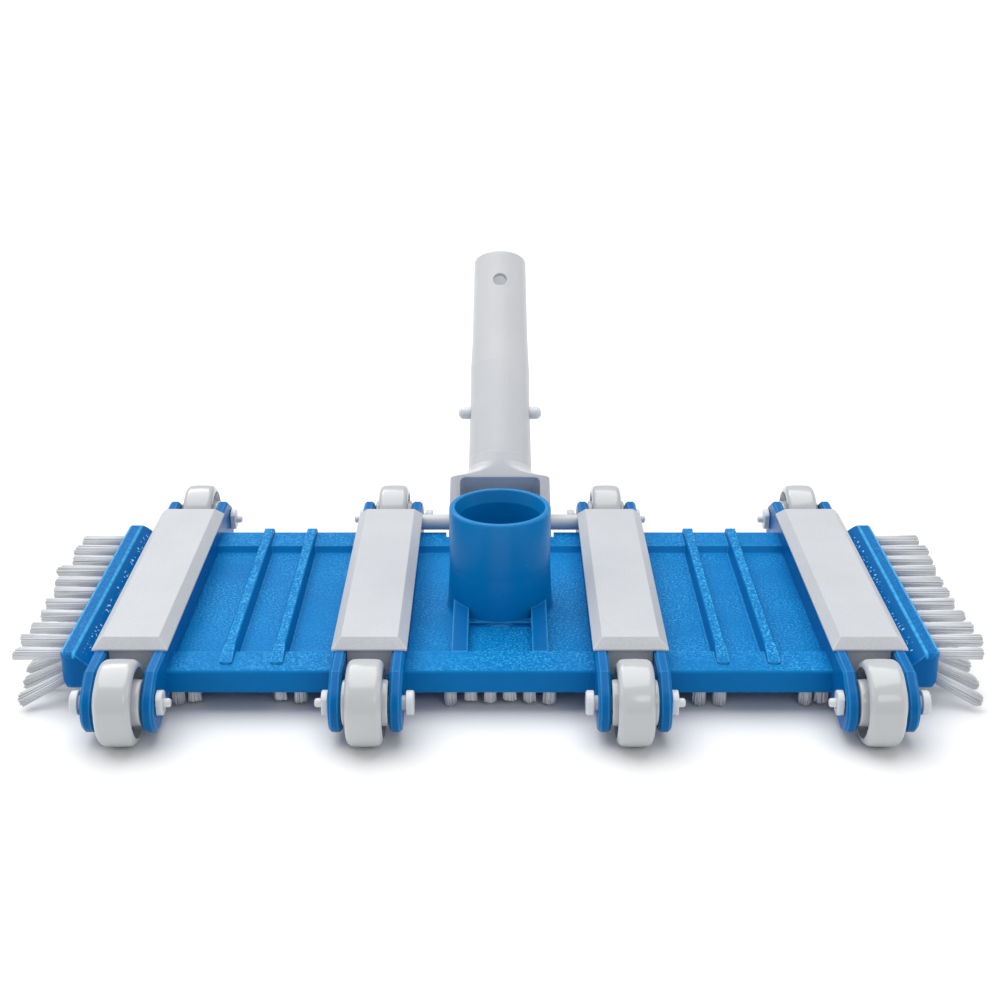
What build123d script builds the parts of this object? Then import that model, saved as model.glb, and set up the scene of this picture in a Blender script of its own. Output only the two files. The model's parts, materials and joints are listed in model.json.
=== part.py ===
from build123d import *
import os
from math import asin, cos, degrees, radians, sin

# Manual pool vacuum head: a weighted, ribbed deck on eight wheels, with a fixed hose port,
# side and under-deck brushes, and a push-in pole handle that swings on a rod at the rear.
# Millimetres, +Z up, the floor is z = 0. Every piece is first placed about the deck's
# centre, and moved as a whole at the end, so that the origin is the bottom centre of the box.

# ---------------------------------------------------------------- wheels and axles
WHEEL_R = 15.5
WHEEL_HALF_W = 6.5
CROWN = 0.4
SHOULDER_R = 2.6
RIM_IN_R = 12.3
WEB_HALF_T = 2.2
HUB_R = 8.15
HUB_HALF_W = 8.15
AXLE_Y = 84.75
PIN_R = 2.6
RUNNING = 0.05
PIN_HEAD_R = 4.4
PIN_HEAD_T = 2.9
PIN_HEAD_STANDOFF = 1.4
PIN_NECK_R = 1.6
PIN_NUB = 2.5
RETAINER_R = 4.5
RETAINER_T = 2.3
RETAINER_FLAT = 3.5

# ---------------------------------------------------------------- weights and their walls
COLUMNS = {"left_outer": -134.6, "left_inner": -47.6, "right_inner": 47.6, "right_outer": 134.6}
WALL_T = 4.5
WALL_MID = 10.7
WALL_TOP = 25.8
RIM_CHAMFER = 0.9
WALL_TOP_HALF_Y = 80.5
FORK_FOOT_R = 9.6
FORK_FOOT_Y = 82.6
FORK_FOOT_Z = 13.4
CHANNEL_FLOOR = 15.0
COVER_HALF_Y = 65.0
COVER_HALF_W = 13.75
COVER_EDGE = 0.6
COVER_TOP = 30.0
COVER_BEVEL = 3.4
STEM_HALF_W = 8.25
STEM_HALF_Y = 63.0
CORE_HALF_W = 6.2
CORE_HALF_Y = 46.0
CORE_TOP = 24.2

# ---------------------------------------------------------------- deck
DECK_BOTTOM = 8.0
LEDGE_TOP = 17.7
PANEL_TOP = 14.7
DECK_HALF_Y = 65.2
DECK_HALF_X = 148.4
LEDGE_W = 15.5
RAMP_W = 2.0
UNDER_RECESS_TOP = 10.8
DECK_LOW_ROUND = 2.2
DECK_HIGH_ROUND = 1.1
PANEL_ROUND = 1.5
UNDER_MARGIN_X = 3.0
UNDER_MARGIN_Y = 17.0
UNDER_CORNER_R = 4.0
SIDE_RAIL_OUT = 162.0
SIDE_RAIL_TOP = 22.9
SIDE_RAIL_RIDGE = 156.6
SIDE_RAIL_FOOT = 150.6
SIDE_RAIL_GROOVE_Z = 18.0
SIDE_RAIL_HALF_Y = 62.0
SIDE_RAIL_SECTION_ROUNDS = [(1, 5.5), (2, 1.8), (3, 1.4), (4, 2.0)]
SIDE_RAIL_END_ROUNDS = [(0, 3.0), (1, 2.5), (2, 2.5), (3, 3.0)]
SIDE_RAIL_CORNER_R = 5.0
RIB_X = (82.3, 101.0)
RIB_BASE_W = 5.6
RIB_TOP_W = 4.0
RIB_TOP = 20.5
RIB_TOP_ROUND = 0.7
RIB_NEAR_END = -60.5
RIB_RAMP_END = -48.0
RIB_FAR_END = 64.6

# ---------------------------------------------------------------- hose port
PORT_Y = -1.6
PORT_TOP = 56.9
PORT_BORE_R = 16.4
PORT_LEAD_R = 17.9
PORT_LEAD_DEPTH = 5.0
PORT_R = 20.0
PORT_LAND_LOW = 33.0
PORT_FOOT_R = 20.9
PORT_FOOT_FLARE = 0.6
PORT_RIM_ROUND = 1.0
THROAT_WALL = 2.5
THROAT_STEP = 0.6
THROAT_LOW_R = 23.0
GUSSET_IN = 12.1
GUSSET_OUT = 18.2
GUSSET_HIGH = 21.0
FOOT_BLOCK_Y = -22.6
FOOT_BLOCK_TOP = 16.6

# ---------------------------------------------------------------- handle and its rod
PIVOT_Y = 67.0
PIVOT_Z = 21.5
LEAN = 43.0
ROD_R = 3.4
ROD_SEAT_DEPTH = 3.4
YOKE_LOW_W = 44.8
YOKE_W = 43.6
YOKE_SHOULDER = 17.0
YOKE_DEPTH = 26.0
YOKE_LOW_DEPTH = 10.4
YOKE_CORNER = 4.0
YOKE_BOSS_R = 6.4
YOKE_END = 28.5
FLARE_D = 27.9
FLARE_STEPS = (0, 0.05, 0.11, 0.18, 0.27, 0.4, 0.6, 1)
CHEEK_T = 4.3
YOKE_BACK_T = 4.0
POCKET_TOP = 16.2
POCKET_ROOF_T = 1.8
POCKET_CORNER_R = 2.5
TUBE_BORE_R = 9.7
TUBE_LENGTH = 130.0
TUBE_TOP_R = 11.95
TUBE_RIM = 1.0
LAND_R = 13.35
LAND_LOW = 57.5
LAND_HIGH = 73.5
TAPER_R = 12.63
TAPER_AT = 89.5
BUTTON_AT = 52.6
BUTTON_R = 2.8
BUTTON_REACH = 18.7
BUTTON_HOLE_R = 3.5
BUTTON_HOLE_AT = 52.25
HANG_HOLE_AT = 114.5
HANG_HOLE_R = 3.2
CLIP_MID = 8.6
CLIP_T = 1.2
CLIP_W = 6.0
CLIP_HINGE_AT = 98.0
CLIP_GAP = 0.3
SADDLE_HALF_W = 3.5
SADDLE_RISE = 1.0
STOP_TOP = 13.9
STOP_HALF_X = 13.0
STOP_BACK = 79.0
STOP_CORNER_R = 3.0
STOP_GAP = 0.3
NOTCH_HALF_X = 23.6
NOTCH_FRONT = 59.4

# ---------------------------------------------------------------- screws
SCREW_Y = 54.0
SCREW_R = 2.0
SCREW_TOP = 22.6
SCREW_HEAD_R = 3.8
SCREW_HEAD_T = 2.4
COUNTERBORE_R = 4.3
COUNTERBORE_TOP = 11.0
PILOT_CLEARANCE = 0.05

# ---------------------------------------------------------------- brushes
TUFT_R = 2.0
TUFT_TIP_R = 2.3
TUFT_SEAT = 4.0
SIDE_TUFTS = 11
UPPER_Z = 18.6
SIDE_FIRST_Y = -53.0
SIDE_PITCH = 10.6
UPPER_REACH = 180.5
LOWER_Z = 11.4
LOWER_DROOP = 19.0
LOWER_LENGTH = 23.0
LOWER_FAN = (26.0, 15.0, 7.0)
UNDER_Y = 58.5
UNDER_TIP_Z = 1.6
UNDER_X = (3.7, 11.0, 18.3, 74.1, 81.6, 113.6, 119.6)

HALF_X = WALL_MID + WALL_T / 2
CLIP_OUT = CLIP_MID + CLIP_T / 2
CLIP_IN = CLIP_MID - CLIP_T / 2
FRONT_REACH = AXLE_Y + WHEEL_R
BACK_REACH = (
    PIVOT_Y
    + (TUBE_TOP_R - TUBE_RIM) * cos(radians(LEAN))
    + (TUBE_LENGTH - TUBE_RIM) * sin(radians(LEAN))
    + TUBE_RIM
)
ORIGIN_Y = (BACK_REACH - FRONT_REACH) / 2
TO_ORIGIN = Pos(0, -ORIGIN_Y, 0)


# ---------------------------------------------------------------- helpers
def block(x0, x1, y0, y1, z0, z1):
    """A box between two corners."""
    middle = Pos((x0 + x1) / 2, (y0 + y1) / 2, (z0 + z1) / 2)
    return middle * Box(x1 - x0, y1 - y0, z1 - z0)


def rod_x(radius, x0, x1, y, z):
    """A cylinder along X."""
    return Pos((x0 + x1) / 2, y, z) * Rot(0, 90, 0) * Cylinder(radius, x1 - x0)


def rod_y(radius, y0, y1, x, z):
    """A cylinder along Y."""
    return Pos(x, (y0 + y1) / 2, z) * Rot(90, 0, 0) * Cylinder(radius, y1 - y0)


def rod_z(radius, z0, z1, x, y):
    """A cylinder along Z."""
    return Pos(x, y, (z0 + z1) / 2) * Cylinder(radius, z1 - z0)


def outline(points, rounds=()):
    """A closed flat outline, with rounds as (corner number, radius)."""
    face = make_face(Polyline(*points, close=True))
    for corner, radius in rounds:
        near = face.vertices().sort_by_distance((*points[corner], 0))[0]
        face = fillet(near, radius)
    return face


def along_x(face, x0, x1):
    """Extrude a (y, z) outline from x0 to x1."""
    return Pos(x0, 0, 0) * extrude(Plane.YZ * face, x1 - x0)


def along_y(face, y0, y1):
    """Extrude an (x, z) outline from y0 to y1."""
    return Pos(0, y1, 0) * extrude(Plane.XZ * face, y1 - y0)


def turned_z(points, rounds=()):
    """Revolve an (r, z) outline about Z."""
    return revolve(Plane.XZ * outline(points, rounds), Axis.Z)


def turned_x(face):
    """Revolve an (x, r) outline about X."""
    return revolve(face, Axis.X)


def sided(shape, side):
    """The shape as it is for side 1, or mirrored across X for side -1."""
    return shape if side > 0 else mirror(shape, Plane.YZ)


# ---------------------------------------------------------------- deck
def fork_outline():
    """Side outline of one long wall: a flat top, and a nose and a round foot at both ends."""
    feet = [Pos(end * FORK_FOOT_Y, FORK_FOOT_Z) * Circle(FORK_FOOT_R) for end in (-1, 1)]
    halves = []
    for end, foot in zip((-1, 1), feet):
        inner = end * (DECK_HALF_Y - 8)
        bar = make_face(
            Polyline(
                (inner, DECK_BOTTOM),
                (inner, WALL_TOP),
                (end * WALL_TOP_HALF_Y, WALL_TOP),
                (end * (WALL_TOP_HALF_Y + 1), WALL_TOP - 1),
                close=True,
            )
        )
        halves.append(make_hull(foot.edges() + bar.edges()))
    middle = Pos(0, (DECK_BOTTOM + WALL_TOP) / 2) * Rectangle(
        2 * DECK_HALF_Y, WALL_TOP - DECK_BOTTOM
    )
    return middle + halves[0] + halves[1]


def wall(x_mid):
    """One long wall of a weight's channel, whose ends are the ears of two wheel forks."""
    plate = along_x(fork_outline(), x_mid - WALL_T / 2, x_mid + WALL_T / 2)
    rims = plate.faces().filter_by(Axis.X)
    return chamfer(rims.edges().filter_by(lambda e: e.length > 3), RIM_CHAMFER)


def slab():
    """The flat body of the deck, with sunken panels above and recesses below."""
    body = block(
        -DECK_HALF_X, DECK_HALF_X, -DECK_HALF_Y, DECK_HALF_Y, DECK_BOTTOM, LEDGE_TOP
    )
    body = fillet(body.edges().filter_by(Axis.X).group_by(Axis.Z)[0], DECK_LOW_ROUND)
    body = fillet(body.edges().filter_by(Axis.X).group_by(Axis.Z)[-1], DECK_HIGH_ROUND)
    inner = COLUMNS["right_inner"] + HALF_X
    outer = COLUMNS["right_outer"] - HALF_X
    reach = DECK_HALF_Y - LEDGE_W
    centre = COLUMNS["right_inner"] - HALF_X
    panels = [(-outer, -inner), (-centre, centre), (inner, outer)]
    for x0, x1 in panels:
        section = outline(
            [
                (-reach, LEDGE_TOP + 1),
                (-reach, LEDGE_TOP),
                (-reach + RAMP_W, PANEL_TOP),
                (reach - RAMP_W, PANEL_TOP),
                (reach, LEDGE_TOP),
                (reach, LEDGE_TOP + 1),
            ],
            [(2, PANEL_ROUND), (3, PANEL_ROUND)],
        )
        body -= along_x(section, x0 - 1, x1 + 1)
        low = block(
            x0 + UNDER_MARGIN_X,
            x1 - UNDER_MARGIN_X,
            -DECK_HALF_Y + UNDER_MARGIN_Y,
            DECK_HALF_Y - UNDER_MARGIN_Y,
            DECK_BOTTOM - 1,
            UNDER_RECESS_TOP,
        )
        body -= fillet(low.edges().filter_by(Axis.Z), UNDER_CORNER_R)
    return body


def rib(x_mid):
    """A rib along Y, tapered in section, ramped down at its front end."""
    base, top = RIB_BASE_W / 2, RIB_TOP_W / 2
    section = outline(
        [
            (x_mid - base, PANEL_TOP - 2),
            (x_mid - base, PANEL_TOP),
            (x_mid - top, RIB_TOP),
            (x_mid + top, RIB_TOP),
            (x_mid + base, PANEL_TOP),
            (x_mid + base, PANEL_TOP - 2),
        ],
        [(2, RIB_TOP_ROUND), (3, RIB_TOP_ROUND)],
    )
    side = outline(
        [
            (RIB_NEAR_END, PANEL_TOP - 2),
            (RIB_NEAR_END, LEDGE_TOP + 0.9),
            (RIB_RAMP_END, RIB_TOP),
            (RIB_FAR_END - 2, RIB_TOP),
            (RIB_FAR_END, LEDGE_TOP),
            (RIB_FAR_END, PANEL_TOP - 2),
        ],
        [(1, 0.8), (3, 1.5)],
    )
    length = RIB_FAR_END - RIB_NEAR_END
    plan = Pos(x_mid, (RIB_FAR_END + RIB_NEAR_END) / 2) * RectangleRounded(
        RIB_BASE_W + 0.2, length, RIB_BASE_W / 2
    )
    bar = along_y(section, RIB_NEAR_END, RIB_FAR_END)
    bar &= along_x(side, x_mid - RIB_BASE_W, x_mid + RIB_BASE_W)
    return bar & extrude(plan, RIB_TOP + 1)


def side_rail():
    """The raised rail at the right-hand end of the deck."""
    section = outline(
        [
            (DECK_HALF_X - 2, DECK_BOTTOM),
            (SIDE_RAIL_OUT, DECK_BOTTOM),
            (SIDE_RAIL_OUT, SIDE_RAIL_TOP),
            (SIDE_RAIL_RIDGE, SIDE_RAIL_TOP),
            (SIDE_RAIL_FOOT, SIDE_RAIL_GROOVE_Z),
            (DECK_HALF_X - 2, SIDE_RAIL_GROOVE_Z),
        ],
        SIDE_RAIL_SECTION_ROUNDS,
    )
    side = outline(
        [
            (-SIDE_RAIL_HALF_Y, DECK_BOTTOM),
            (-SIDE_RAIL_HALF_Y, SIDE_RAIL_TOP),
            (SIDE_RAIL_HALF_Y, SIDE_RAIL_TOP),
            (SIDE_RAIL_HALF_Y, DECK_BOTTOM),
        ],
        SIDE_RAIL_END_ROUNDS,
    )
    plan = outline(
        [
            (DECK_HALF_X - 2, -SIDE_RAIL_HALF_Y),
            (SIDE_RAIL_OUT, -SIDE_RAIL_HALF_Y),
            (SIDE_RAIL_OUT, SIDE_RAIL_HALF_Y),
            (DECK_HALF_X - 2, SIDE_RAIL_HALF_Y),
        ],
        [(1, SIDE_RAIL_CORNER_R), (2, SIDE_RAIL_CORNER_R)],
    )
    rail = along_y(section, -SIDE_RAIL_HALF_Y, SIDE_RAIL_HALF_Y)
    rail &= along_x(side, DECK_HALF_X - 2, SIDE_RAIL_OUT)
    return rail & extrude(plan, SIDE_RAIL_TOP)


def deck():
    """The deck: slab, ribs, side rails, stop shelf of the handle, and flared throat."""
    body = slab()
    for side in (-1, 1):
        body += sided(side_rail(), side)
        for x_mid in RIB_X:
            body += rib(side * x_mid)
    body += rod_z(THROAT_LOW_R + THROAT_WALL, DECK_BOTTOM, PANEL_TOP, 0, PORT_Y)
    shelf = block(
        -STOP_HALF_X, STOP_HALF_X, DECK_HALF_Y - 8, STOP_BACK, DECK_BOTTOM, STOP_TOP
    )
    body += fillet(shelf.edges().filter_by(Axis.Z).group_by(Axis.Y)[-1], STOP_CORNER_R)

    gap = WALL_MID - WALL_T / 2
    cuts = []
    for x_mid in COLUMNS.values():
        cuts.append(
            block(
                x_mid - gap,
                x_mid + gap,
                -DECK_HALF_Y - 1,
                DECK_HALF_Y + 1,
                CHANNEL_FLOOR,
                WALL_TOP + 1,
            )
        )
        for screw_y in (-SCREW_Y, SCREW_Y):
            cuts.append(rod_z(SCREW_R + 0.3, DECK_BOTTOM - 1, CHANNEL_FLOOR + 1, x_mid, screw_y))
            cuts.append(rod_z(COUNTERBORE_R, DECK_BOTTOM - 1, COUNTERBORE_TOP, x_mid, screw_y))
    throat = turned_z(
        [
            (0, DECK_BOTTOM - 0.01),
            (THROAT_LOW_R, DECK_BOTTOM - 0.01),
            (PORT_BORE_R + THROAT_STEP, PANEL_TOP),
            (PORT_BORE_R + THROAT_STEP, PANEL_TOP + 1),
            (0, PANEL_TOP + 1),
        ]
    )
    cuts.append(throat.moved(Pos(0, PORT_Y, 0)))
    cuts.append(
        block(
            -NOTCH_HALF_X,
            NOTCH_HALF_X,
            NOTCH_FRONT,
            DECK_HALF_Y + 1,
            STOP_TOP,
            LEDGE_TOP + 1,
        )
    )
    for cut in [*cuts, *seats_of_tufts()]:
        body -= cut
    return body


def channel_walls(x_mid, deck_body):
    """The two long walls of one weight's channel, standing on the deck, as separate solids."""
    seat_face = COLUMNS["right_inner"] - HALF_X
    holes = []
    for end in (-1, 1):
        span = SIDE_RAIL_OUT
        holes.append(rod_x(PIN_R + RUNNING, -span, span, end * AXLE_Y, WHEEL_R))
        seat = sorted((end * (seat_face - 1), end * (seat_face + ROD_SEAT_DEPTH)))
        holes.append(rod_x(ROD_R + RUNNING, seat[0], seat[1], PIVOT_Y, PIVOT_Z))
    walls = []
    for hand in (-1, 1):
        plate = wall(x_mid + hand * WALL_MID) - deck_body
        for hole in holes:
            plate -= hole
        walls.append(plate.solids().sort_by(SortBy.VOLUME)[-1])
    return Compound(walls)


# ---------------------------------------------------------------- hose port
def hose_port():
    """The fixed hose port with its lead-in."""
    ring = turned_z(
        [
            (PORT_BORE_R, PANEL_TOP),
            (PORT_FOOT_R + PORT_FOOT_FLARE, PANEL_TOP),
            (PORT_FOOT_R, PANEL_TOP + 2 * PORT_FOOT_FLARE),
            (PORT_R, PORT_LAND_LOW),
            (PORT_R, PORT_TOP),
            (PORT_LEAD_R, PORT_TOP),
            (PORT_BORE_R, PORT_TOP - PORT_LEAD_DEPTH),
        ],
        [(4, PORT_RIM_ROUND), (5, PORT_RIM_ROUND / 2)],
    )
    return ring.moved(Pos(0, PORT_Y, 0))


def port_gussets():
    """Two gussets from the port to the front ledge, and the foot block between them."""
    front = -DECK_HALF_Y + LEDGE_W
    side = outline(
        [
            (PORT_Y - 8, PANEL_TOP),
            (PORT_Y - 8, GUSSET_HIGH + 0.5),
            (PORT_Y - 13.4, GUSSET_HIGH),
            (front, LEDGE_TOP),
            (front, PANEL_TOP),
        ]
    )
    foot = block(-GUSSET_IN, GUSSET_IN, FOOT_BLOCK_Y, PORT_Y - 12, PANEL_TOP, FOOT_BLOCK_TOP)
    parts = [along_x(side, *sorted((hand * GUSSET_IN, hand * GUSSET_OUT))) for hand in (-1, 1)]
    core = rod_z(PORT_BORE_R + 1, PANEL_TOP - 1, PORT_TOP, 0, PORT_Y)
    solids = []
    for part in [*parts, foot]:
        solids.extend((part - core - slab() - hose_port()).solids())
    return Compound(solids)


# ---------------------------------------------------------------- weights
def weight_cover(x_mid):
    """A T-section cover: a bevelled plate on a stem that fills the channel."""
    low = WALL_TOP + COVER_EDGE
    foot = Pos(0, 0, WALL_TOP) * Rectangle(2 * COVER_HALF_W, 2 * COVER_HALF_Y)
    plate = extrude(foot, COVER_EDGE)
    top_w = 2 * (COVER_HALF_W - COVER_BEVEL)
    top_l = 2 * (COVER_HALF_Y - COVER_BEVEL)
    bevel = loft(
        [
            Pos(0, 0, low) * Rectangle(2 * COVER_HALF_W, 2 * COVER_HALF_Y),
            Pos(0, 0, COVER_TOP) * Rectangle(top_w, top_l),
        ]
    )
    cover = plate + bevel
    cover = fillet(cover.edges().filter_by(lambda e: e.center().Z > low + 0.5), 0.5)
    cover += block(
        -STEM_HALF_W, STEM_HALF_W, -STEM_HALF_Y, STEM_HALF_Y, CHANNEL_FLOOR, WALL_TOP + 0.2
    )
    cover -= core_block()
    for end in (-1, 1):
        pilot = rod_z(
            SCREW_R + PILOT_CLEARANCE, CHANNEL_FLOOR - 1, SCREW_TOP + 0.6, 0, end * SCREW_Y
        )
        cover -= pilot
    return cover.moved(Pos(x_mid, 0, 0))


def core_block():
    """The metal bar inside a weight cover, resting on the channel's floor."""
    return block(
        -CORE_HALF_W, CORE_HALF_W, -CORE_HALF_Y, CORE_HALF_Y, CHANNEL_FLOOR, CORE_TOP
    )


def weight_screw(x_mid, y_mid):
    """A pan-head screw, driven up from below, with a cross recess in its head."""
    head_low = COUNTERBORE_TOP - SCREW_HEAD_T
    head = rod_z(SCREW_HEAD_R, head_low, COUNTERBORE_TOP, 0, 0)
    head = fillet(head.edges().group_by(Axis.Z)[0], 0.9)
    screw = head + rod_z(SCREW_R, COUNTERBORE_TOP - 0.5, SCREW_TOP, 0, 0)
    for turn in (0, 90):
        slot = Rot(0, 0, turn) * block(-2.0, 2.0, -0.4, 0.4, head_low - 1, head_low + 1.2)
        screw -= slot
    return screw.moved(Pos(x_mid, y_mid, 0))


# ---------------------------------------------------------------- wheels, pins, retainers
def wheel():
    """A crowned wheel with a recessed web on both sides of its hub, about X."""
    half, rim = WHEEL_HALF_W, WHEEL_R - CROWN
    bore = PIN_R + RUNNING
    crown = ThreePointArc((-half, rim), (0, WHEEL_R), (half, rim))
    rest = Polyline(
        (half, rim),
        (half, RIM_IN_R + 0.3),
        (WEB_HALF_T, RIM_IN_R - 0.9),
        (WEB_HALF_T, HUB_R + 0.5),
        (HUB_HALF_W, HUB_R),
        (HUB_HALF_W, bore),
        (-HUB_HALF_W, bore),
        (-HUB_HALF_W, HUB_R),
        (-WEB_HALF_T, HUB_R + 0.5),
        (-WEB_HALF_T, RIM_IN_R - 0.9),
        (-half, RIM_IN_R + 0.3),
        (-half, rim),
    )
    face = make_face(crown + rest)
    for corner, radius in (
        ((half, rim), SHOULDER_R),
        ((-half, rim), SHOULDER_R),
        ((HUB_HALF_W, HUB_R), 0.7),
        ((-HUB_HALF_W, HUB_R), 0.7),
    ):
        near = face.vertices().sort_by_distance((*corner, 0))[0]
        face = fillet(near, radius)
    return turned_x(face)


def axle_pin():
    """An axle pin along X with its head on the +X side and a necked plain end."""
    head_in = HALF_X + PIN_HEAD_STANDOFF
    head_out = head_in + PIN_HEAD_T
    neck_at = -HALF_X - 0.2
    tip = -HALF_X - RETAINER_T - 0.4 - PIN_NUB
    face = outline(
        [
            (tip, 0),
            (tip, PIN_NECK_R),
            (neck_at, PIN_NECK_R),
            (neck_at, PIN_R),
            (head_in, PIN_R),
            (head_in, PIN_HEAD_R),
            (head_out, PIN_HEAD_R),
            (head_out, 0),
        ],
        [(1, 1.0), (5, 0.4), (6, 0.8)],
    )
    return turned_x(face)


def retainer():
    """A push-on retainer for the necked end of an axle pin: a disc with two flats."""
    x0 = -HALF_X - 0.3 - RETAINER_T
    disc = rod_x(RETAINER_R, x0, x0 + RETAINER_T, 0, 0)
    disc &= block(x0, x0 + RETAINER_T, -RETAINER_FLAT, RETAINER_FLAT, -RETAINER_R, RETAINER_R)
    disc = fillet(disc.edges().group_by(Axis.X)[0], 0.5)
    return disc - rod_x(PIN_NECK_R + RUNNING, x0 - 1, x0 + RETAINER_T + 1, 0, 0)


def axle_stations():
    """Name, place and head side of each axle: outer heads face out, inner heads face in."""
    for end_name, end in (("front", -1), ("rear", 1)):
        for column, x_mid in COLUMNS.items():
            hand = 1 if x_mid > 0 else -1
            head_side = hand if column.endswith("outer") else -hand
            yield f"{end_name}_{column}", Pos(x_mid, end * AXLE_Y, WHEEL_R), head_side


# ---------------------------------------------------------------- handle
def leaned(shape):
    """Put a handle piece, modelled along +Z from the pivot, in its leaned-back place."""
    return shape.moved(Pos(0, PIVOT_Y, PIVOT_Z) * Rot(-LEAN, 0, 0))


def yoke_block():
    """The yoke's outside: a wedge from the pivot boss to the shoulders, then a flare."""
    boss = Circle(YOKE_BOSS_R)
    head = Pos(0, YOKE_SHOULDER - 0.5) * Rectangle(YOKE_DEPTH, 1)
    side = make_hull(boss.edges() + head.edges())
    wedge = loft(
        [
            Pos(0, 0, -YOKE_BOSS_R - 1)
            * RectangleRounded(YOKE_LOW_W, YOKE_LOW_DEPTH, YOKE_CORNER),
            Pos(0, 0, YOKE_SHOULDER) * RectangleRounded(YOKE_W, YOKE_DEPTH, YOKE_CORNER),
        ]
    )
    wedge &= along_x(side, -YOKE_LOW_W, YOKE_LOW_W)
    sections = []
    for step in FLARE_STEPS:
        left = 1 - step
        z = YOKE_SHOULDER + (YOKE_END - YOKE_SHOULDER) * step
        width = FLARE_D + (YOKE_W - FLARE_D) * left**5
        depth = FLARE_D + (YOKE_DEPTH - FLARE_D) * left**2
        corner = FLARE_D / 2 - 0.05 - (FLARE_D / 2 - YOKE_CORNER) * left**3
        sections.append(Pos(0, 0, z) * RectangleRounded(width, depth, corner))
    flare = loft(sections, ruled=True)
    return wedge + flare


def handle():
    """The handle: a pocketed yoke on the rod and a tapered tube that pushes into a pole."""
    body = yoke_block()
    body += turned_z(
        [
            (0, YOKE_END - 1.5),
            (FLARE_D / 2, YOKE_END - 1.5),
            (LAND_R, LAND_LOW),
            (LAND_R, LAND_HIGH),
            (TAPER_R, TAPER_AT),
            (TUBE_TOP_R, TUBE_LENGTH),
            (0, TUBE_LENGTH),
        ],
        [(5, TUBE_RIM)],
    )
    half = YOKE_W / 2 - CHEEK_T
    back = YOKE_DEPTH / 2 - YOKE_BACK_T
    pocket = block(-half, half, -YOKE_DEPTH, back, -YOKE_DEPTH, POCKET_TOP)
    body -= fillet(pocket.edges().filter_by(Axis.Y).group_by(Axis.Z)[-1], POCKET_CORNER_R)
    body -= rod_z(TUBE_BORE_R, POCKET_TOP + POCKET_ROOF_T, TUBE_LENGTH + 1, 0, 0)
    body -= rod_x(ROD_R + RUNNING, -YOKE_W, YOKE_W, 0, 0)
    body -= rod_x(BUTTON_HOLE_R, -YOKE_W, YOKE_W, 0, BUTTON_HOLE_AT)
    body -= rod_y(HANG_HOLE_R, -YOKE_W, YOKE_W, 0, HANG_HOLE_AT)
    shelf_relief = block(-YOKE_W, YOKE_W, NOTCH_FRONT - 20, STOP_BACK + 20, 0, STOP_TOP + STOP_GAP)
    return leaned(body) - shelf_relief


def clip_bend():
    """The bend of the pole clip: a half ring, held by a saddle across the tube's bore."""
    ring = rod_y(CLIP_OUT, -CLIP_W / 2, CLIP_W / 2, 0, CLIP_HINGE_AT)
    ring -= rod_y(CLIP_IN, -CLIP_W, CLIP_W, 0, CLIP_HINGE_AT)
    apex = CLIP_HINGE_AT + CLIP_OUT
    half = block(-CLIP_OUT, CLIP_OUT, -CLIP_W, CLIP_W, CLIP_HINGE_AT, apex)
    saddle = rod_z(TUBE_BORE_R, apex - CLIP_T, apex + SADDLE_RISE, 0, 0)
    saddle &= block(-SADDLE_HALF_W, SADDLE_HALF_W, -LAND_R, LAND_R, CLIP_HINGE_AT, TUBE_LENGTH)
    bend = (ring & half) + saddle
    for side in (-1, 1):
        knuckle_r = CLIP_T / 2 + CLIP_GAP
        bend -= rod_y(knuckle_r, -CLIP_W, CLIP_W, side * CLIP_MID, CLIP_HINGE_AT)
    return leaned(bend)


def clip_arm(side):
    """One leg of the pole clip with its round-nosed button."""
    leg = block(
        CLIP_IN,
        CLIP_OUT,
        -CLIP_W / 2,
        CLIP_W / 2,
        BUTTON_AT - 4.0,
        CLIP_HINGE_AT,
    )
    leg += rod_y(CLIP_T / 2, -CLIP_W / 2, CLIP_W / 2, CLIP_MID, CLIP_HINGE_AT)
    button = rod_x(BUTTON_R, CLIP_IN + 0.2, BUTTON_REACH, 0, BUTTON_AT)
    button = fillet(button.edges().group_by(Axis.X)[-1], BUTTON_R - 0.25)
    return leaned(sided(leg + button, side))


def pivot_rod():
    """The rod that the yoke swings on, seated in the inner walls of the inner channels."""
    reach = COLUMNS["right_inner"] - HALF_X + ROD_SEAT_DEPTH - 0.2
    rod = rod_x(ROD_R, -reach, reach, PIVOT_Y, PIVOT_Z)
    return chamfer(rod.edges().filter_by(GeomType.CIRCLE), 0.5)


# ---------------------------------------------------------------- brushes
def tuft(length):
    """A tuft along +Z, a little wider at its tip, starting in its seat."""
    return Pos(0, 0, length / 2) * Cone(TUFT_R, TUFT_TIP_R, length)


def upper_places():
    """Start point of each upper side tuft on the right-hand rail, and its turn from +Z."""
    for number in range(SIDE_TUFTS):
        y = SIDE_FIRST_Y + SIDE_PITCH * number
        yield Pos(SIDE_RAIL_OUT - TUFT_SEAT, y, UPPER_Z) * Rot(0, 90, 0)


def lower_places():
    """The same for the lower side tufts, which droop outwards and fan out at both ends."""
    for number in range(SIDE_TUFTS):
        y = SIDE_FIRST_Y + SIDE_PITCH * number
        from_end = min(number, SIDE_TUFTS - 1 - number)
        fan = LOWER_FAN[from_end] if from_end < len(LOWER_FAN) else 0
        turn = fan if y > 0 else -fan
        start = Pos(SIDE_RAIL_OUT - TUFT_SEAT, y, LOWER_Z)
        yield start * Rot(0, 0, turn) * Rot(0, 90 + LOWER_DROOP, 0)


def side_tufts(places, length, side):
    """One row of side tufts, as separate solids."""
    row = [sided(place * tuft(length), side) for place in places]
    return Compound([solid for one in row for solid in one.solids()])


def under_places(end):
    """Top point of each under-deck tuft at the front (-1) or rear (1)."""
    for x in UNDER_X:
        for side in (-1, 1):
            yield side * x, end * UNDER_Y


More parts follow.
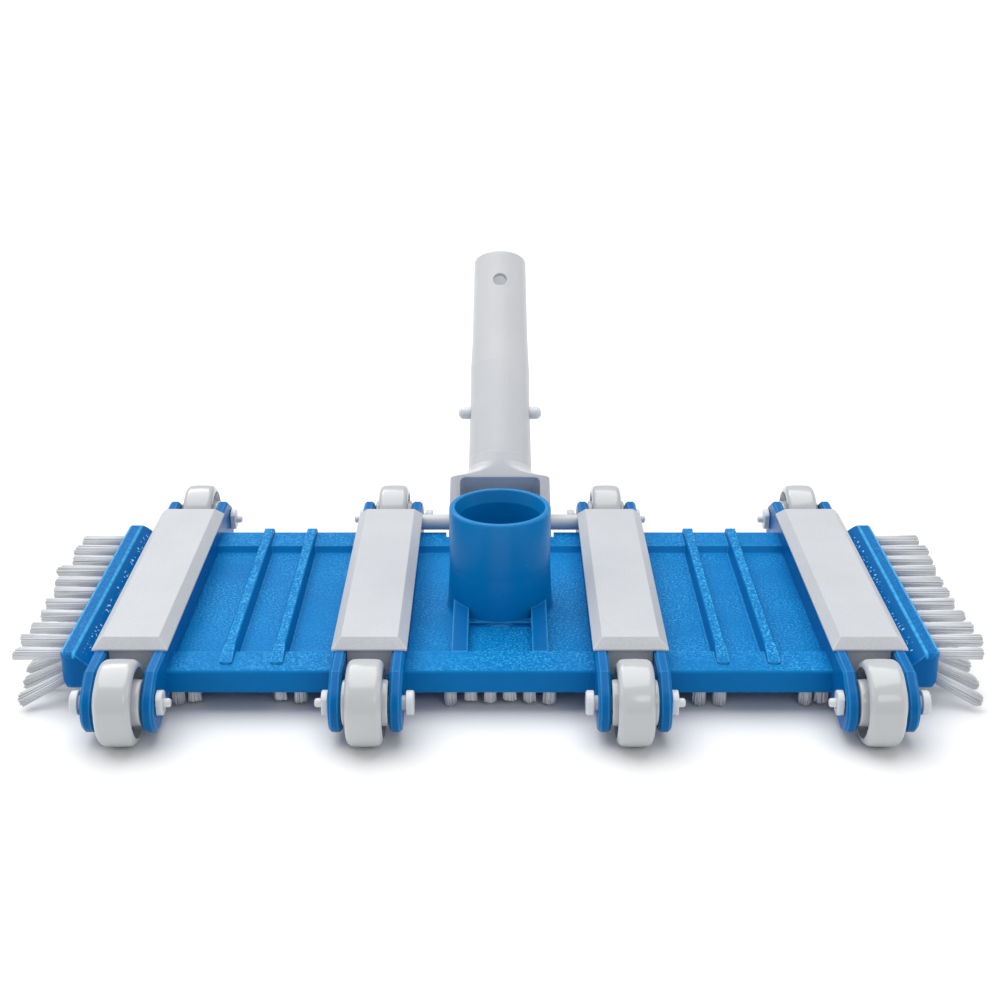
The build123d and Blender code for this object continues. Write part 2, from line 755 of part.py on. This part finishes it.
def under_tufts(end):
    """The tufts under the front or rear rail, as separate solids."""
    length = DECK_BOTTOM + TUFT_SEAT - UNDER_TIP_Z
    hang = tuft(length).moved(Pos(0, 0, DECK_BOTTOM + TUFT_SEAT) * Rot(180, 0, 0))
    row = [hang.moved(Pos(x, y, 0)) for x, y in under_places(end)]
    return Compound([solid for one in row for solid in one.solids()])


def seats_of_tufts():
    """Blind holes in the deck for every tuft."""
    seat_r = TUFT_TIP_R + 0.1
    reach = 3 * TUFT_SEAT
    for side in (-1, 1):
        for place in [*upper_places(), *lower_places()]:
            yield sided(place * Pos(0, 0, reach / 2) * Cylinder(seat_r, reach), side)
    for end in (-1, 1):
        for x, y in under_places(end):
            yield rod_z(seat_r, DECK_BOTTOM - 1, DECK_BOTTOM + TUFT_SEAT, x, y)


# ---------------------------------------------------------------- all pieces
def pieces():
    """Every node by name."""
    deck_body = deck()
    made = {"deck": deck_body, "hose_port": hose_port(), "port_gussets": port_gussets()}
    for column, x_mid in COLUMNS.items():
        made[f"channel_walls_{column}"] = channel_walls(x_mid, deck_body)
        made[f"weight_cover_{column}"] = weight_cover(x_mid)
        made[f"weight_core_{column}"] = core_block().moved(Pos(x_mid, 0, 0))
    made["weight_screws"] = Compound(
        [weight_screw(x, end * SCREW_Y) for x in COLUMNS.values() for end in (-1, 1)]
    )
    for station, place, head_side in axle_stations():
        made[f"wheel_{station}"] = wheel().moved(place)
        made[f"axle_pin_{station}"] = sided(axle_pin(), head_side).moved(place)
        made[f"axle_retainer_{station}"] = sided(retainer(), head_side).moved(place)
    made["handle"] = handle()
    made["handle_pivot_rod"] = pivot_rod()
    made["pole_clip_bend"] = clip_bend()
    upper = UPPER_REACH - SIDE_RAIL_OUT + TUFT_SEAT
    for side_name, side in (("left", -1), ("right", 1)):
        made[f"pole_clip_button_{side_name}"] = clip_arm(side)
        made[f"side_bristles_upper_{side_name}"] = side_tufts(upper_places(), upper, side)
        made[f"side_bristles_lower_{side_name}"] = side_tufts(lower_places(), LOWER_LENGTH, side)
    made["under_bristles_front"] = under_tufts(-1)
    made["under_bristles_rear"] = under_tufts(1)
    return made


def main():
    os.makedirs("parts", exist_ok=True)
    for name, shape in pieces().items():
        export_step(shape.moved(TO_ORIGIN), f"parts/{name}.step")
    press = degrees(asin((BUTTON_REACH - 13.7) / (CLIP_HINGE_AT - BUTTON_AT)))
    print(f"origin is {ORIGIN_Y:.3f} behind the deck's centre; button swing {press:.2f} deg")


main()
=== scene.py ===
import json
import math
import random

import bmesh
import bpy
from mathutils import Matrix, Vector


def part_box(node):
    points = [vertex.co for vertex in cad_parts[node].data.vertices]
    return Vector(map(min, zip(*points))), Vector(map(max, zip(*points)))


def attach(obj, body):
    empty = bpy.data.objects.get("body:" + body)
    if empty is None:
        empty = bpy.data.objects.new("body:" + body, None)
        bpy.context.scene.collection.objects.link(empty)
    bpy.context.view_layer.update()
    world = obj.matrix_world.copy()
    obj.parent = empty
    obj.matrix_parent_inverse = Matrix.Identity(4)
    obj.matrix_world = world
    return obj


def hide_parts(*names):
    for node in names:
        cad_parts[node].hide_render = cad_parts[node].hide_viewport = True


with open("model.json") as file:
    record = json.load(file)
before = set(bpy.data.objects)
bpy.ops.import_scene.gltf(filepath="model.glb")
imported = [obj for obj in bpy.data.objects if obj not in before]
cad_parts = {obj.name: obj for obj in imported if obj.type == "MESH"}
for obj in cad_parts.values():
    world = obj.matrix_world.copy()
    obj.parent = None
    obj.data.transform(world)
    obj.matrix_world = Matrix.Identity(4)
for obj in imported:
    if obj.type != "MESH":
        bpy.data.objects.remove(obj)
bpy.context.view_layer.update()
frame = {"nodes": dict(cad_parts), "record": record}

# Looks of a pool vacuum head: moulded blue deck, satin white weights and handle, glossy
# wheels, and brushes made of separate filaments. Metres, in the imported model's own frame.
MM = 0.001
random.seed(11)


# ---------------------------------------------------------------- materials
class Finish:
    """A node material under construction: its tree, its Principled shader and shortcuts."""

    def __init__(self, name, colour, roughness):
        self.material = bpy.data.materials.new(name)
        self.material.use_nodes = True
        self.tree = self.material.node_tree
        self.shader = self.tree.nodes["Principled BSDF"]
        self.set("Base Color", (*colour, 1))
        self.set("Roughness", roughness)
        self.place = self.add("ShaderNodeTexCoord").outputs["Object"]

    def set(self, socket, value):
        """A constant on one of the shader's own sockets."""
        self.shader.inputs[socket].default_value = value

    def add(self, kind, **settings):
        """A new node with its settings."""
        node = self.tree.nodes.new(kind)
        for key, value in settings.items():
            setattr(node, key, value)
        return node

    def link(self, source, target):
        self.tree.links.new(source, target)

    def noise(self, scale, detail=2.0, rough=0.5, stretch=None):
        """Noise over the piece's own coordinates, scale in 1/m."""
        node = self.add("ShaderNodeTexNoise")
        for socket, value in (("Scale", scale), ("Detail", detail), ("Roughness", rough)):
            node.inputs[socket].default_value = value
        place = self.place
        if stretch:
            squeeze = self.add("ShaderNodeMapping")
            squeeze.inputs["Scale"].default_value = stretch
            self.link(place, squeeze.inputs["Vector"])
            place = squeeze.outputs["Vector"]
        self.link(place, node.inputs["Vector"])
        return node.outputs["Fac"]

    def ramp(self, source, span, to=(0.0, 1.0)):
        """The source's span mapped onto another one, clamped. A span may run downwards."""
        node = self.add("ShaderNodeMapRange")
        for key, value in zip(("From Min", "From Max", "To Min", "To Max"), (*span, *to)):
            node.inputs[key].default_value = value
        self.link(source, node.inputs["Value"])
        return node.outputs["Result"]

    def mottle(self, scale, span, to=(0.0, 1.0), detail=3, rough=0.6):
        """Patches of noise, scale in 1/m: its span mapped onto another one, clamped."""
        return self.ramp(self.noise(scale, detail, rough), span, to)

    def math(self, operation, a, b=0.0):
        """a and b, each a socket or a number, through one operation."""
        node = self.add("ShaderNodeMath", operation=operation)
        for socket, value in zip(node.inputs, (a, b)):
            if isinstance(value, (int, float)):
                socket.default_value = value
            else:
                self.link(value, socket)
        return node.outputs["Value"]

    def times(self, a, b):
        return self.math("MULTIPLY", a, b)

    def larger(self, a, b):
        return self.math("MAXIMUM", a, b)

    def inverse(self, mask):
        return self.math("SUBTRACT", 1.0, mask)

    def lay(self, under, over, mask, strength=1.0):
        """Colour over laid on colour under by a mask; each colour is a socket or an RGB triple."""
        node = self.add("ShaderNodeMix", data_type="RGBA")
        for socket, value in ((node.inputs[6], under), (node.inputs[7], over)):
            if isinstance(value, tuple):
                socket.default_value = (*value, 1)
            else:
                self.link(value, socket)
        self.link(mask if strength == 1.0 else self.times(mask, strength), node.inputs[0])
        return node.outputs[2]

    def rounded(self, radius):
        """The normal as if every edge were rounded to the radius."""
        bevel = self.add("ShaderNodeBevel", samples=6)
        bevel.inputs["Radius"].default_value = radius
        return bevel.outputs["Normal"]

    def edges(self, radius):
        """0 on flat faces, 1 along edges, from how a rounded normal differs from the true one."""
        dot = self.add("ShaderNodeVectorMath", operation="DOT_PRODUCT")
        self.link(self.rounded(radius), dot.inputs[0])
        self.link(self.add("ShaderNodeNewGeometry").outputs["Normal"], dot.inputs[1])
        return self.ramp(dot.outputs["Value"], (0.995, 0.90))

    def band(self, distance, middle, half):
        """1 where the distance is near the middle of a band, 0 past half its width."""
        away = self.math("ABSOLUTE", self.math("SUBTRACT", distance, middle))
        return self.ramp(away, (half, 0.4 * half))

    def upward(self, low=0.75, high=0.97):
        """1 on faces that look up, 0 on upright and lower ones, in the piece's own frame."""
        split = self.add("ShaderNodeSeparateXYZ")
        self.link(self.add("ShaderNodeTexCoord").outputs["Normal"], split.inputs["Vector"])
        return self.ramp(split.outputs["Z"], (low, high))

    def bump(self, layers, bevel=None):
        """Height layers as (socket, metres), one bump after another, onto the shader's normal."""
        normal = self.rounded(bevel) if bevel else None
        for height, distance in layers:
            node = self.add("ShaderNodeBump")
            node.inputs["Distance"].default_value = distance
            self.link(height, node.inputs["Height"])
            if normal is not None:
                self.link(normal, node.inputs["Normal"])
            normal = node.outputs["Normal"]
        self.link(normal, self.shader.inputs["Normal"])

    def colour(self, socket):
        self.link(socket, self.shader.inputs["Base Color"])

    def rough(self, socket):
        self.link(socket, self.shader.inputs["Roughness"])

    def scatter(self, weight, radius, depth):
        """Light that goes a little way into the plastic."""
        self.set("Subsurface Weight", weight)
        self.set("Subsurface Radius", radius)
        self.set("Subsurface Scale", depth)


# BLUE_LIGHT and GLINT are colours of painted highlights on the blue; BLUE_DEEP is a deeper tone of
# it, also laid on as painted shade.
BLUE = (0.000, 0.212, 0.545)
BLUE_LIGHT = (0.060, 0.420, 0.790)
BLUE_DEEP = (0.000, 0.125, 0.385)
GLINT = (0.55, 0.80, 0.95)

# Lines along the side rails, measured inwards from their outer faces.
RAIL_OUT_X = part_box("deck")[1][0]
RAIL_FROM_X = RAIL_OUT_X - 14.2 * MM
RAIL_EDGE_X = RAIL_OUT_X - 0.9 * MM
RAIL_RIDGE_X = RAIL_OUT_X - 5.6 * MM
RAIL_GROOVE_X = RAIL_OUT_X - 8.6 * MM
RAIL_SLOPE_X = (RAIL_EDGE_X + RAIL_RIDGE_X) / 2

# The deck reaches a little past the weight covers at both ends; the forks stand beyond it.
COVER_NEAR_Y, COVER_FAR_Y = (corner[1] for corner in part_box("weight_cover_left_inner"))
DECK_MID_Y = (COVER_NEAR_Y + COVER_FAR_Y) / 2
DECK_HALF_Y = (COVER_FAR_Y - COVER_NEAR_Y) / 2 + 0.6 * MM
GLINTS_HALF_Y = 55 * MM
RIB_GRAIN_Z = 19.0 * MM
FOOT_BLOCK_Z = 16.6 * MM
SHARP = 0.4 * MM

GRAIN_SCALE = 1150
FINE_GRAIN_SCALE = 2400
GRAIN_DEPTH = 0.16 * MM
FINE_GRAIN_DEPTH = 0.4 * GRAIN_DEPTH
DECK_WAVE_DEPTH = 0.08 * MM
SOFT_EDGE = 0.5 * MM


def rail_marks(f, base, sideways, lengthways):
    """The side rails' painted highlights: light lines along edge and ridge (partly wear), fine
    specks, and a string of glints.
    """
    facing_up = f.upward(0.15, 0.5)
    # Painted highlight: light lines along the ridge and the outer edge, on faces that look up.
    lines = f.larger(
        f.band(sideways, RAIL_RIDGE_X, 0.7 * MM), f.band(sideways, RAIL_EDGE_X, 0.8 * MM)
    )
    lines = f.times(lines, f.mottle(300, (0.36, 0.56), to=(0.55, 1.0)))
    base = f.lay(base, BLUE_LIGHT, f.times(lines, facing_up))
    # Painted highlight: fine light specks on the rail's outer slope, partly its grain.
    sparkle_specks = f.times(
        f.mottle(1900, (0.56, 0.66), detail=1, rough=0.5), f.band(sideways, RAIL_SLOPE_X, 3 * MM)
    )
    base = f.lay(base, BLUE_LIGHT, f.times(sparkle_specks, facing_up), 0.4)
    # Painted glints: light dots along the groove next to the weights.
    dots = f.mottle(900, (0.69, 0.73), detail=0, rough=0.5)
    dots = f.times(dots, f.ramp(lengthways, (GLINTS_HALF_Y + 2 * MM, GLINTS_HALF_Y)))
    return f.lay(base, GLINT, f.times(dots, f.band(sideways, RAIL_GROOVE_X, 1.0 * MM)))


def grained_blue(name):
    """The deck's plastic: a spark-eroded grain on faces that look up, smooth sides and rails;
    painted shade on rails, forks and upright faces, and painted highlights as grain sparkle, along
    edges and on the rails.
    """
    f = Finish(name, BLUE, 0.36)
    split = f.add("ShaderNodeSeparateXYZ")
    f.link(f.place, split.inputs["Vector"])
    sideways = f.math("ABSOLUTE", split.outputs["X"])
    lengthways = f.math("ABSOLUTE", f.math("SUBTRACT", split.outputs["Y"], DECK_MID_Y))
    height = split.outputs["Z"]

    rail = f.ramp(sideways, (RAIL_FROM_X - SHARP, RAIL_FROM_X))
    forks = f.ramp(lengthways, (DECK_HALF_Y, DECK_HALF_Y + SHARP))
    upright = f.inverse(f.upward(0.2, 0.6))
    foot_block = f.band(height, FOOT_BLOCK_Z, 0.6 * MM)
    grained = f.times(f.upward(), f.inverse(f.larger(rail, foot_block)))
    grain = f.noise(GRAIN_SCALE, 1.5, 0.6)
    fine = f.noise(FINE_GRAIN_SCALE, 2, 0.6)

    # Painted shade: rails, forks and upright faces laid darker, as if less lit.
    painted_shade = f.larger(f.larger(rail, forks), f.times(upright, 0.5))
    base = f.lay(BLUE, BLUE_DEEP, f.mottle(26, (0.35, 0.65)), 0.35)
    base = f.lay(base, BLUE_DEEP, painted_shade, 0.9)
    # Painted highlight: light specks of the grain stand in for its sparkle, strongest in patches
    # and on the rib tops.
    wear_and_highlight = f.larger(
        f.mottle(42, (0.38, 0.6), to=(0.3, 1.0), detail=2, rough=0.5),
        f.ramp(height, (RIB_GRAIN_Z, RIB_GRAIN_Z + 0.5 * MM), to=(0, 1.5)),
    )
    sparkle_specks = f.times(f.ramp(grain, (0.535, 0.60)), f.times(grained, wear_and_highlight))
    base = f.lay(base, BLUE_LIGHT, sparkle_specks, 0.55)
    base = f.lay(base, BLUE_DEEP, f.times(f.ramp(grain, (0.47, 0.40)), grained), 0.5)
    # Painted highlight along edges, with some wear, in the lighter blue.
    edge_wear_and_highlight = f.times(f.edges(1.0 * MM), f.mottle(420, (0.42, 0.6), to=(0.4, 1.0)))
    base = f.lay(base, BLUE_LIGHT, edge_wear_and_highlight, 0.9)
    f.colour(rail_marks(f, base, sideways, lengthways))

    f.rough(f.math("ADD", f.ramp(fine, (0.3, 0.7), to=(0.26, 0.40)), f.times(grained, 0.10)))
    layers = [
        (f.times(grain, grained), GRAIN_DEPTH),
        (f.times(fine, grained), FINE_GRAIN_DEPTH),
        (f.noise(90), DECK_WAVE_DEPTH),
    ]
    f.bump(layers, bevel=SOFT_EDGE)
    f.set("Specular IOR Level", 0.07)
    return f.material


def smooth_blue(name, colour, shine):
    """The same plastic, polished: the hose port, its gussets and the channel walls; light edges
    are painted highlight, with some wear.
    """
    f = Finish(name, colour, 0.30)
    base = f.lay(colour, BLUE_DEEP, f.mottle(34, (0.3, 0.7), rough=0.55), 0.3)
    # Painted highlight along edges, with some wear, in the lighter blue.
    edge_wear_and_highlight = f.times(f.edges(1.2 * MM), f.mottle(190, (0.3, 0.6), to=(0.6, 1.0)))
    f.colour(f.lay(base, BLUE_LIGHT, edge_wear_and_highlight, 0.75))
    f.rough(f.mottle(240, (0.3, 0.7), to=(0.26, 0.38)))
    f.bump([(f.noise(110), 0.05 * MM), (f.noise(1400, 2, 0.6), 0.012 * MM)], bevel=SOFT_EDGE)
    f.set("Specular IOR Level", shine)
    return f.material


def white(name, colour, roughness, shade, grain=0.008, wave=0.04, coat=0.0, depth=0.0, fleck=0.0):
    """White plastic with faint mottling and softened edges; grain and wave are depths in mm.

    coat is the weight of a glossy skin, depth the share of light that scatters inside, and
    fleck how strongly a fine fleck shows."""
    f = Finish(name, colour, roughness)
    base = f.lay(colour, shade, f.mottle(36, (0.3, 0.7)), 0.5)
    base = f.lay(base, shade, f.mottle(1300, (0.42, 0.58), detail=2), fleck)
    # Painted highlight along edges, with some wear: edges laid in a lighter copy of the colour.
    wear_and_highlight = f.times(f.edges(0.7 * MM), f.mottle(170, (0.35, 0.65), to=(0.2, 1.0)))
    light = tuple(min(1.0, c * 1.12) for c in colour)
    f.colour(f.lay(base, light, wear_and_highlight, 0.8))
    f.rough(f.mottle(420, (0.3, 0.7), to=(roughness - 0.05, roughness + 0.07)))
    f.bump([(f.noise(2300, 2, 0.6), grain * MM), (f.noise(100), wave * MM)], bevel=0.4 * MM)
    if depth:
        f.scatter(depth, (1.0, 0.95, 0.9), 1.5 * MM)
    if coat:
        f.set("Coat Weight", coat)
        f.set("Coat Roughness", 0.12)
    return f.material


def nylon(name):
    """Bristle filaments: slightly translucent nylon, each a little different in tone."""
    f = Finish(name, (0.70, 0.72, 0.76), 0.42)
    each = f.add("ShaderNodeNewGeometry").outputs["Random Per Island"]
    tone = f.lay((0.60, 0.625, 0.675), (0.78, 0.795, 0.82), each)
    cloud = f.mottle(260, (0.3, 0.7), detail=2, rough=0.5)
    f.colour(f.lay(tone, (0.64, 0.645, 0.665), cloud, 0.3))
    f.rough(f.mottle(900, (0.3, 0.7), to=(0.36, 0.5), detail=2, rough=0.5))
    f.bump([(f.noise(2600), 0.01 * MM)])
    f.scatter(0.15, (1.0, 1.0, 1.0), 1.0 * MM)
    return f.material


def metal(name, colour, roughness):
    """Turned or cast metal with fine marks."""
    f = Finish(name, colour, roughness)
    marks = f.ramp(f.noise(700, 3, 0.6, stretch=(1, 1, 6)), (0.3, 0.7))
    f.colour(f.lay(tuple(c * 0.7 for c in colour), colour, marks))
    f.rough(f.mottle(500, (0.3, 0.7), (roughness - 0.08, roughness + 0.1), detail=2, rough=0.5))
    f.bump([(f.noise(1500), 0.01 * MM)], bevel=0.2 * MM)
    f.set("Metallic", 1.0)
    return f.material


FINISHES = {
    "deck_blue": grained_blue("deck_blue"),
    "port_blue": smooth_blue("port_blue", BLUE, 0.22),
    # Darker copies of the same blue for the gussets and channel walls: painted shade.
    "gusset_blue_painted_shade": smooth_blue("gusset_blue_painted_shade", BLUE_DEEP, 0.1),
    "wall_blue_painted_shade": smooth_blue("wall_blue_painted_shade", BLUE_DEEP, 0.1),
    "weight_white": white(
        "weight_white", (0.56, 0.577, 0.602), 0.42, (0.475, 0.49, 0.52), grain=0.03, fleck=0.5
    ),
    "wheel_white": white(
        "wheel_white", (0.525, 0.54, 0.555), 0.2, (0.465, 0.48, 0.50), wave=0.03, coat=0.6
    ),
    "pin_white": white("pin_white", (0.66, 0.69, 0.72), 0.3, (0.58, 0.61, 0.65)),
    "handle_white": white(
        "handle_white", (0.64, 0.65, 0.67), 0.36, (0.59, 0.60, 0.625), depth=0.1
    ),
    "rod_white": white("rod_white", (0.64, 0.655, 0.67), 0.34, (0.58, 0.59, 0.61)),
    "clip_white": white("clip_white", (0.70, 0.73, 0.76), 0.24, (0.62, 0.65, 0.69), depth=0.4),
    "bristle_white": nylon("bristle_nylon"),
    "core_iron": metal("core_iron", (0.20, 0.20, 0.21), 0.55),
    "screw_steel": metal("screw_steel", (0.60, 0.60, 0.61), 0.3),
}
# These nodes share a CAD slot with a larger neighbour but get their own darker copy of the blue:
# painted shade, as they stand where less light falls.
OWN_FINISH = {"channel_walls": "wall_blue_painted_shade", "port_gussets": "gusset_blue_painted_shade"}
SLOT_OF = {part["node"]: part["material_slot"] for part in frame["record"]["subparts"]}
for name, obj in frame["nodes"].items():
    own = [look for start, look in OWN_FINISH.items() if name.startswith(start)]
    finish = own[0] if own else SLOT_OF[name]
    obj.data.materials.clear()
    obj.data.materials.append(FINISHES[finish])


# ---------------------------------------------------------------- brushes
FILAMENT_R = 0.42 * MM
FILAMENT_SIDES = 6
RINGS_OF_FILAMENTS = 3
FLATTEST_CUT = 0.3
LEAN_X = (-0.2, 0.2)
LEAN_Z = (-0.5, 0.5)
END_SHARE = 0.12
AXIS_PASSES = 3
WELD = 1e-6
ROOT_R = 2.1 * MM
TIP_R_MM = (2.35, 2.65)
BEND_AT = 0.55
BEND_WANDER = 0.35


def show(name, mesh, material):
    """The mesh as an object of the scene, in one material."""
    data = bpy.data.meshes.new(name)
    mesh.to_mesh(data)
    mesh.free()
    data.materials.append(material)
    piece = bpy.data.objects.new(name, data)
    bpy.context.scene.collection.objects.link(piece)
    return piece


def filament(mesh, points, radius, cut):
    """A thin closed tube through the points, its free end cut square to the vector cut."""
    rings = []
    along = (points[-1] - points[0]).normalized()
    across = along.orthogonal().normalized()
    other = along.cross(across)
    for number, point in enumerate(points):
        ring = []
        for k in range(FILAMENT_SIDES):
            turn = math.tau * k / FILAMENT_SIDES
            offset = radius * (math.cos(turn) * across + math.sin(turn) * other)
            spot = point + offset
            if number == len(points) - 1:
                spot = spot - along * (offset.dot(cut) / max(FLATTEST_CUT, along.dot(cut)))
            ring.append(mesh.verts.new(spot))
        rings.append(ring)
    for low, high in zip(rings, rings[1:]):
        for k in range(FILAMENT_SIDES):
            nxt = (k + 1) % FILAMENT_SIDES
            mesh.faces.new((low[k], low[nxt], high[nxt], high[k])).smooth = True
    mesh.faces.new(rings[-1])
    mesh.faces.new(list(reversed(rings[0])))


def filament_places():
    """Places of a tuft's filaments within a unit circle: six per ring and ring number."""
    yield 0.0, 0.0
    for ring in range(1, RINGS_OF_FILAMENTS + 1):
        for k in range(6 * ring):
            turn = math.tau * (k + 0.5 * (ring % 2)) / (6 * ring)
            reach = ring / RINGS_OF_FILAMENTS
            yield reach * math.cos(turn), reach * math.sin(turn)


def tuft(mesh, root, tip, root_r, tip_r, lean, shorter, stray):
    """A bundle of filaments from root to tip, cut off by a plane that leans by that vector."""
    along = tip - root
    length = along.length
    along.normalize()
    side = along.orthogonal().normalized()
    other = along.cross(side)
    lean = lean - along * lean.dot(along)
    cut = (along + lean).normalized()
    for u, v in filament_places():
        low = root + (root_r - FILAMENT_R) * (u * side + v * other)
        spread = tip_r - FILAMENT_R
        wander = stray * Vector([random.uniform(-1, 1) for _ in range(3)])
        flat = spread * (u * side + v * other) + wander
        flat = flat - along * flat.dot(along)
        reach = length - flat.dot(lean) - random.uniform(0, shorter)
        high = root + flat + along * reach
        bend = low.lerp(high, BEND_AT) + BEND_WANDER * wander
        filament(mesh, [low, bend, high], FILAMENT_R, cut)


def brush(name, node, tufts):
    """One row of tufts as a mesh that stands for its CAD node."""
    mesh = bmesh.new()
    for settings in tufts:
        tuft(mesh, **settings)
    piece = show(name, mesh, FINISHES["bristle_white"])
    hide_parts(node)
    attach(piece, "deck")


def islands(node):
    """The separate solids of a CAD node, each as a sorted list of its corners."""
    mesh = bmesh.new()
    mesh.from_mesh(frame["nodes"][node].data)
    bmesh.ops.remove_doubles(mesh, verts=mesh.verts, dist=WELD)
    left = set(mesh.verts)
    found = []
    while left:
        stack = [left.pop()]
        group = []
        while stack:
            vert = stack.pop()
            group.append(vert.co.copy())
            for edge in vert.link_edges:
                near = edge.other_vert(vert)
                if near in left:
                    left.remove(near)
                    stack.append(near)
        found.append(sorted(group, key=tuple))
    mesh.free()
    return found


def ends_of(group):
    """Middle points of a tuft solid's two round ends; each pass straightens the axis."""
    middle = sum(group, Vector()) / len(group)
    axis = (max(group, key=lambda p: (p - middle).length) - middle).normalized()
    ends = []
    for _ in range(AXIS_PASSES):
        along = [(p - middle).dot(axis) for p in group]
        low, high = min(along), max(along)
        near = (high - low) * END_SHARE
        sets = [
            [p for p, a in zip(group, along) if a < low + near],
            [p for p, a in zip(group, along) if a > high - near],
        ]
        ends = [sum(part, Vector()) / len(part) for part in sets]
        axis = (ends[1] - ends[0]).normalized()
    return ends


def tufts_of(node, seated_first, slant, shorter, stray, reach):
    """Settings for each tuft of a row, taken from where its CAD solid lies."""
    groups = sorted(islands(node), key=lambda group: min(tuple(p) for p in group))
    for group in groups:
        root, tip = sorted(ends_of(group), key=seated_first)
        slope = random.uniform(*slant)
        lean = Vector((random.uniform(*LEAN_X), 1.0, random.uniform(*LEAN_Z))) * slope
        yield {
            "root": root,
            "tip": root + (tip - root) * random.uniform(*reach),
            "root_r": ROOT_R,
            "tip_r": random.uniform(*TIP_R_MM) * MM,
            "lean": lean,
            "shorter": shorter,
            "stray": stray,
        }


# Each row: how steeply its tufts are cut, then in mm how much shorter a filament may be and
# how far it strays, then how far its tufts reach as a share of the CAD solid's length.
SIDE_ROWS = {
    "upper": ((-0.2, 1.1), 0.5, 0.16, (0.94, 1.1)),
    "lower": ((0.2, 1.1), 0.5, 0.16, (0.94, 1.1)),
}
UNDER_ROW = ((-0.4, 0.4), 0.4, 0.2, (0.92, 1.04))


def side_brushes():
    """The rows in the side rails; a tuft is seated at its end nearer the middle."""
    for side in ("left", "right"):
        for row, (slant, shorter, stray, reach) in SIDE_ROWS.items():
            node = f"side_bristles_{row}_{side}"
            tufts = tufts_of(node, lambda p: abs(p.x), slant, shorter * MM, stray * MM, reach)
            brush(f"brush_side_{row}_{side}", node, tufts)


def under_brushes():
    """The rows below the deck; a tuft is seated at its upper end."""
    slant, shorter, stray, reach = UNDER_ROW
    for end in ("front", "rear"):
        node = f"under_bristles_{end}"
        tufts = tufts_of(node, lambda p: -p.z, slant, shorter * MM, stray * MM, reach)
        brush(f"brush_under_{end}", node, tufts)


side_brushes()
under_brushes()


# ---------------------------------------------------------------- floor, lights, camera
FLOOR_HALF = 60.0
FLOOR_PALE = (0.91, 0.91, 0.91)
FLOOR_SHADE = (0.89, 0.89, 0.89)
WORLD_STRENGTH = 0.46
SUN_STRENGTH = 2.35
SUN_SPREAD_DEG = 70
SUN_TILT_DEG = (-14, -8, 0)
LIT_POINT = (0, 0, 0.02)
# Each panel of light: place, width and height, power.
PANELS = {
    "front": ((0.35, -1.1, 0.85), (0.5, 0.35), 1.3),
    "behind": ((-0.5, 0.9, 0.8), (0.6, 0.3), 1.6),
    "left": ((-1.1, -0.1, 0.5), (0.8, 0.5), 1.2),
    "right": ((1.1, -0.1, 0.5), (0.8, 0.5), 1.2),
}


def floor():
    """A plain pale floor under the wheels."""
    mesh = bmesh.new()
    corners = [(-1, -1), (1, -1), (1, 1), (-1, 1)]
    mesh.faces.new([mesh.verts.new((x * FLOOR_HALF, y * FLOOR_HALF, 0)) for x, y in corners])
    f = Finish("floor_white", FLOOR_PALE, 0.75)
    tone = f.mottle(3, (0.3, 0.7), detail=2, rough=0.5)
    f.colour(f.lay(FLOOR_SHADE, FLOOR_PALE, tone))
    show("floor", mesh, f.material)


def sky():
    """A very soft sun from overhead and a pale surround."""
    sun = bpy.data.lights.new("sky", "SUN")
    sun.energy = SUN_STRENGTH
    sun.angle = math.radians(SUN_SPREAD_DEG)
    obj = bpy.data.objects.new("sky", sun)
    obj.rotation_euler = [math.radians(turn) for turn in SUN_TILT_DEG]
    bpy.context.scene.collection.objects.link(obj)
    world = bpy.data.worlds.new("studio")
    world.use_nodes = True
    back = world.node_tree.nodes["Background"]
    back.inputs["Color"].default_value = (1, 1, 1, 1)
    back.inputs["Strength"].default_value = WORLD_STRENGTH
    bpy.context.scene.world = world


def panels():
    """Faint rectangular lights all round, turned to the object, for its gloss."""
    for name, (place, size, power) in PANELS.items():
        lamp = bpy.data.lights.new(name, "AREA")
        lamp.shape = "RECTANGLE"
        lamp.size, lamp.size_y = size
        lamp.energy = power
        obj = bpy.data.objects.new(name, lamp)
        obj.location = place
        aim = Vector(LIT_POINT) - Vector(place)
        obj.rotation_euler = aim.to_track_quat("-Z", "Y").to_euler()
        bpy.context.scene.collection.objects.link(obj)


# From the deck's middle to the camera, and how far it looks down.
CAMERA_AHEAD = 0.58426
CAMERA_UP = 0.29313
CAMERA_DOWN_DEG = 21.85
LENS_MM = 57.62


def camera():
    """The camera, on the deck's centre line, looking down at it from in front."""
    data = bpy.data.cameras.new("camera")
    data.lens = LENS_MM
    data.sensor_width = 36
    obj = bpy.data.objects.new("camera", data)
    obj.location = (0, DECK_MID_Y - CAMERA_AHEAD, CAMERA_UP)
    obj.rotation_euler = (math.radians(90 - CAMERA_DOWN_DEG), 0, 0)
    bpy.context.scene.collection.objects.link(obj)
    bpy.context.scene.camera = obj


floor()
sky()
panels()
camera()
bpy.context.scene.view_settings.view_transform = "Standard"
